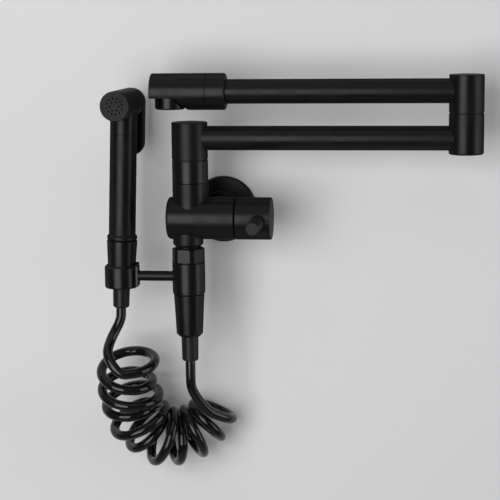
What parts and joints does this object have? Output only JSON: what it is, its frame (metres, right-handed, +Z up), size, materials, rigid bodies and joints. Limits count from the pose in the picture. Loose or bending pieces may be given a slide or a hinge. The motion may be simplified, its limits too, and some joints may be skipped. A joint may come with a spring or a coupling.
{
  "type": "wall-mounted kitchen faucet",
  "caption": "Black wall-mounted kitchen faucet with a folding swing-arm spout, a side valve knob and a pull-out hand sprayer on a coiled hose beside it.",
  "frame": {"origin": "centre of the wall flange on the wall plane", "axes": "+Y into the wall, +Z up, +X to the right seen from the front"},
  "size_m": [0.3231, 0.1226, 0.3401],
  "materials": {
    "black_coat": "satin",
    "black_plastic": "satin",
    "grey_plastic": "matte",
    "pale_plastic": "matte",
    "hose": "gloss",
    "rubber": "matte",
    "brass": "machined",
    "steel": "bright",
    "ceramic": "lapped"
  },
  "bodies": {
    "wall_unit": {"wall_flange": "black_coat", "flange_gasket": "rubber", "inlet_nipple": "brass", "inlet_filter": "steel", "valve_body": "black_coat", "cartridge_housing": "pale_plastic", "fixed_ceramic_disc": "ceramic", "cartridge_seal": "rubber", "cartridge_nut": "brass", "riser_collar": "black_coat", "column_spigot": "brass", "column_o_rings": "rubber", "column_glide_washer": "black_plastic", "outlet_pipe": "black_coat", "holder_nut": "black_coat", "holder_tee": "black_coat", "check_valve": "pale_plastic", "holder_rod": "black_coat", "holder_cup": "black_coat", "valve_hose_nut": "black_coat", "valve_hose_washer": "rubber", "valve_hose_barb": "brass", "valve_hose_sleeve": "black_plastic", "hose_valve_lead": "hose", "hose_coil": "hose", "hose_sprayer_lead": "hose"},
    "knob": {"knob": "black_coat", "knob_pin": "black_coat", "cartridge_stem": "brass", "moving_ceramic_disc": "ceramic", "stem_o_ring": "rubber"},
    "lower_arm": {"lower_elbow": "black_coat", "elbow_lock_screw": "steel", "lower_arm_tube": "black_coat", "lower_knuckle": "black_coat", "knuckle_spigot": "brass", "knuckle_o_rings": "rubber", "knuckle_glide_washer": "black_plastic"},
    "upper_arm": {"upper_knuckle": "black_coat", "knuckle_lock_screw": "steel", "upper_arm_tube": "black_coat", "spout_collar": "black_coat", "spout_head": "black_coat", "aerator_housing": "black_coat", "aerator_gasket": "rubber", "aerator_screen": "grey_plastic"},
    "hose_end": {"sprayer_hose_sleeve": "black_plastic", "sprayer_hose_barb": "brass"},
    "sprayer": {"sprayer_hose_nut": "black_coat", "sprayer_hose_washer": "rubber", "sprayer_handle": "black_coat", "sprayer_head": "black_coat", "spray_face": "grey_plastic", "sprayer_gland": "brass", "trigger_pin": "steel", "plunger_spring": "steel"},
    "trigger": {"trigger": "black_plastic"},
    "plunger": {"plunger": "brass", "plunger_seal": "rubber"}
  },
  "joints": [
    {"name": "lower_arm_swing", "type": "hinge", "parent": "wall_unit", "child": "lower_arm", "pos_m": [-0.0193, -0.058, 0.06625], "axis": [0, 0, 1], "range_deg": [-120, 10]},
    {"name": "upper_arm_swing", "type": "hinge", "parent": "lower_arm", "child": "upper_arm", "pos_m": [0.2057, -0.058, 0.10425], "axis": [0, 0, 1], "range_deg": [-180, 180]},
    {"name": "knob_turn", "type": "hinge", "parent": "wall_unit", "child": "knob", "pos_m": [0.0378, -0.058, 0], "axis": [1, 0, 0], "range_deg": [-90, 90]},
    {"name": "sprayer_lift", "type": "slide", "parent": "wall_unit", "child": "hose_end", "axis": [0.0384, 0, 0.9993], "range_m": [0, 0.06], "deforming": ["hose_coil", "hose_sprayer_lead"]},
    {"name": "sprayer_turn", "type": "hinge", "parent": "hose_end", "child": "sprayer", "pos_m": [-0.0778, -0.058, -0.0192], "axis": [0.0384, 0, 0.9993], "range_deg": [-20, 20]},
    {"name": "trigger_press", "type": "hinge", "parent": "sprayer", "child": "trigger", "pos_m": [-0.07256, -0.03423, 0.08478], "axis": [-0.9979, 0.0523, 0.0383], "range_deg": [0, 10], "stiffness_Nm_per_rad": 0.6, "springref_deg": -6.88},
    {"name": "plunger_pull", "type": "slide", "parent": "sprayer", "child": "plunger", "axis": [0.0523, 0.9986, -0.002], "range_m": [0, 0.0023], "deforming": ["plunger_spring"]}
  ],
  "couplings": [
    {"joint": "plunger_pull", "follows": "trigger_press", "m_per_rad": 0.0128}
  ]
}
